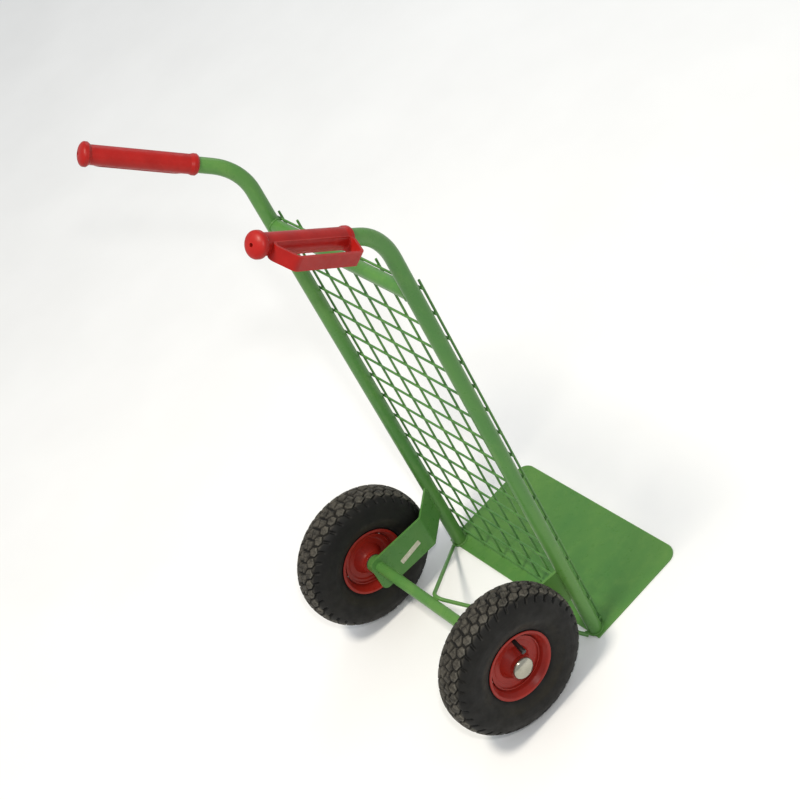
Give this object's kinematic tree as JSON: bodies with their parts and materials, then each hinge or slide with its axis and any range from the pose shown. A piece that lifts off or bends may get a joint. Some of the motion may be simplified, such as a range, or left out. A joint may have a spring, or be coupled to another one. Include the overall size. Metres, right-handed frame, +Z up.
{
  "type": "garden cart",
  "caption": "Two-wheeled upright cart: bent tube frame with a wire mesh back, flat toe plate, pneumatic wheels and guarded hand grips.",
  "frame": {"origin": "underside of the toe plate, directly below the centre lines of the side tubes' feet, midway between them", "axes": "+X is the operator's right, +Y points forward over the toe plate, +Z is up from the floor"},
  "size_m": [0.5694, 0.4746, 1.0688],
  "materials": {
    "green_paint": "satin green paint",
    "green_wire": "satin green paint",
    "label": "matt pale sticker, blank",
    "zinc": "bright plated steel",
    "red_plastic": "semi-gloss moulded plastic",
    "bearing_steel": "ground steel",
    "tyre": "black rubber with dusty tread",
    "tube_rubber": "soft black rubber",
    "red_paint": "gloss red paint",
    "valve_rubber": "matt black rubber",
    "black_plastic": "matt black plastic"
  },
  "bodies": {
    "frame": {"toe_plate": "green_paint", "upper_cross_bar": "green_paint", "mesh_upright_wires": "green_wire", "mesh_cross_wires": "green_wire", "bracket_label": "label", "axle": "green_paint", "stay_rod": "green_paint", "side_tube_right": "green_paint", "side_tube_left": "green_paint", "axle_bracket_right": "green_paint", "axle_bracket_left": "green_paint", "spacer_collar_right": "green_paint", "spacer_collar_left": "green_paint", "hub_washers_right": "zinc", "hub_washers_left": "zinc", "axle_cap_right": "zinc", "axle_cap_left": "zinc", "grip_right": "red_plastic", "grip_left": "red_plastic", "bearing_inner_races_right": "bearing_steel", "bearing_inner_races_left": "bearing_steel"},
    "wheel_right": {"tyre_right": "tyre", "inner_tube_right": "tube_rubber", "rim_barrel_right": "red_paint", "wheel_disc_outer_right": "red_paint", "wheel_disc_inner_right": "red_paint", "valve_stem_right": "valve_rubber", "valve_cap_right": "black_plastic", "hub_tube_right": "red_paint", "bearing_outer_races_right": "bearing_steel", "bearing_balls_right": "bearing_steel"},
    "wheel_left": {"tyre_left": "tyre", "inner_tube_left": "tube_rubber", "rim_barrel_left": "red_paint", "wheel_disc_outer_left": "red_paint", "wheel_disc_inner_left": "red_paint", "valve_stem_left": "valve_rubber", "valve_cap_left": "black_plastic", "hub_tube_left": "red_paint", "bearing_outer_races_left": "bearing_steel", "bearing_balls_left": "bearing_steel"}
  },
  "joints": [
    {"name": "wheel_right_spin", "type": "hinge", "parent": "frame", "child": "wheel_right", "pos_m": [0.207, -0.1526, 0.13], "axis": [1, 0, 0], "continuous": true},
    {"name": "wheel_left_spin", "type": "hinge", "parent": "frame", "child": "wheel_left", "pos_m": [-0.207, -0.1526, 0.13], "axis": [1, 0, 0], "continuous": true}
  ]
}
